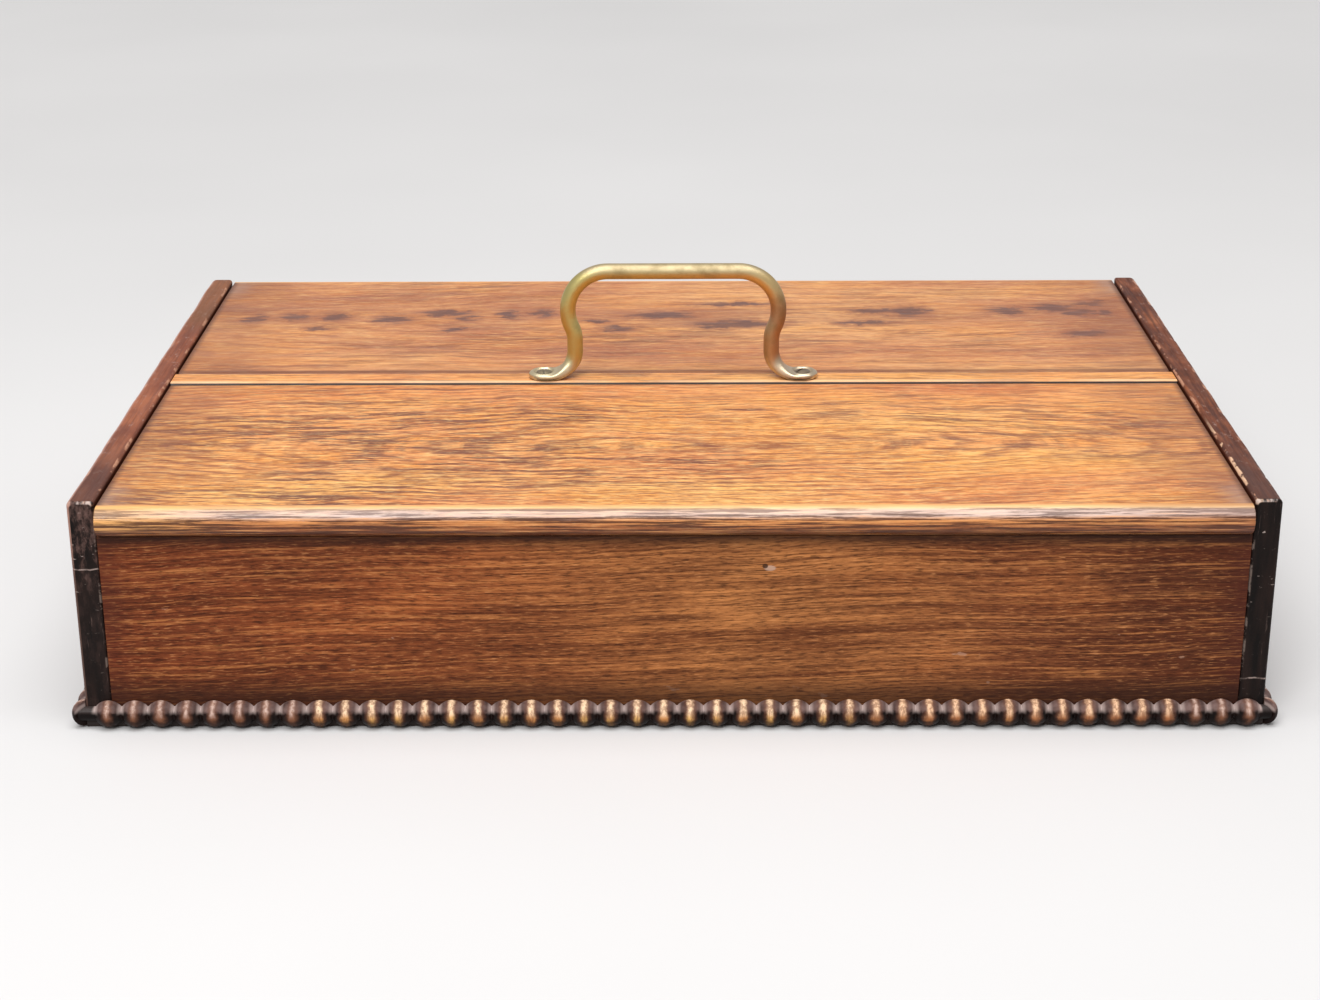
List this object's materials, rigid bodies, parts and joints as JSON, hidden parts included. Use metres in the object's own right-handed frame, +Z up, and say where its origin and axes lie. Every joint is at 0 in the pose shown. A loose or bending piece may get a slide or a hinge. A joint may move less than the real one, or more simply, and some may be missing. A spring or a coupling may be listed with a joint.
{
  "type": "antique cutlery box",
  "caption": "Low rectangular oak box with hinged lids either side of a narrow centre rail, a bent brass rod handle fixed to the rail and turned bead moulding round the foot.",
  "frame": {"origin": "on the floor under the middle of the box", "axes": "+X along the length of the box, +Y from its front to its back, +Z up"},
  "size_m": [0.4302, 0.2922, 0.1317],
  "materials": {
    "oak": "golden oak, waxed and worn",
    "stained_wood": "red-brown stain, polished",
    "dark_wood": "dark stain with worn arrises",
    "plain_wood": "unpolished inside timber",
    "bead_wood": "near-black stain rubbed to brown",
    "aged_brass": "aged, unlacquered",
    "steel": "dulled"
  },
  "bodies": {
    "case": {"right_end_panel": "dark_wood", "left_end_panel": "dark_wood", "front_panel": "stained_wood", "back_panel": "stained_wood", "base_board": "plain_wood", "centre_partition": "plain_wood", "centre_rail": "oak", "front_bead_strip": "bead_wood", "right_bead_strip": "bead_wood", "back_bead_strip": "bead_wood", "left_bead_strip": "bead_wood", "handle": "aged_brass", "handle_screw_left": "aged_brass", "handle_screw_right": "aged_brass", "base_screw_front_1": "steel", "base_screw_back_1": "steel", "base_screw_front_2": "steel", "base_screw_back_2": "steel", "base_screw_left_1": "steel", "base_screw_right_1": "steel", "base_screw_left_2": "steel", "base_screw_right_2": "steel", "right_nail_front_1": "steel", "left_nail_front_1": "steel", "right_nail_back_1": "steel", "left_nail_back_1": "steel", "right_nail_front_2": "steel", "left_nail_front_2": "steel", "right_nail_back_2": "steel", "left_nail_back_2": "steel", "right_nail_partition": "steel", "left_nail_partition": "steel", "right_nail_rail": "steel", "left_nail_rail": "steel"},
    "front_lid": {"front_lid": "oak", "front_lid_pin_left": "aged_brass", "front_lid_pin_right": "aged_brass"},
    "back_lid": {"back_lid": "oak", "back_lid_pin_left": "aged_brass", "back_lid_pin_right": "aged_brass"}
  },
  "joints": [
    {"name": "front_lid_hinge", "type": "hinge", "parent": "case", "child": "front_lid", "pos_m": [0, -0.02035, 0.079], "axis": [-1, 0, 0], "range_deg": [0, 95]},
    {"name": "back_lid_hinge", "type": "hinge", "parent": "case", "child": "back_lid", "pos_m": [0, 0.02035, 0.079], "axis": [1, 0, 0], "range_deg": [0, 95]}
  ]
}
